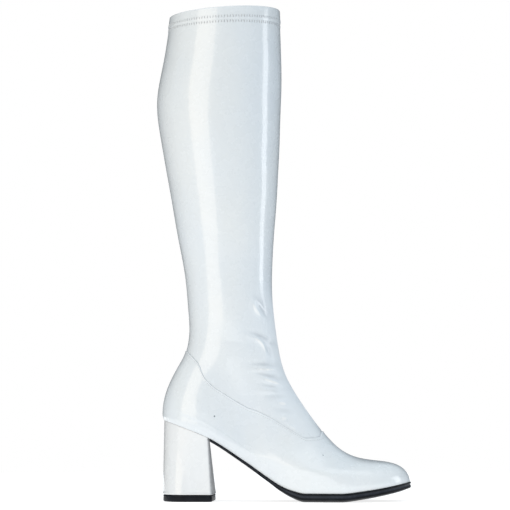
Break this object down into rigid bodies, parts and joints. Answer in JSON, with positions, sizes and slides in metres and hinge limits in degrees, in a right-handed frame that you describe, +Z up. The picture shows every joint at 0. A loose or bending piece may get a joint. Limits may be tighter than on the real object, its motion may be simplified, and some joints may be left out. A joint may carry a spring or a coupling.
{
  "type": "go go boot",
  "caption": "Knee-high white patent go-go boot for the right foot, with a hollow shaft, curved foot panel, chunky block heel and black sole.",
  "frame": {"origin": "on the floor plane, under the middle of the boot's bounding box", "axes": "+X from the heel to the toe, +Z up along the shaft, -Y towards the outer side of the right foot, +Y towards the inner side"},
  "size_m": [0.2422, 0.1118, 0.4689],
  "materials": {
    "white_patent": "glossy white stretch patent with a soft lining",
    "heel_cover": "glossy white patent wrapped over the heel block",
    "sock_lining": "matt pale sock lining over the insole board",
    "black_sole": "semi-gloss black moulded edge, matt tread",
    "black_tip": "satin black top lift"
  },
  "bodies": {
    "root": {"upper": "white_patent", "insole": "sock_lining", "outsole": "black_sole", "heel": "heel_cover", "heel_tip": "black_tip"}
  },
  "joints": []
}
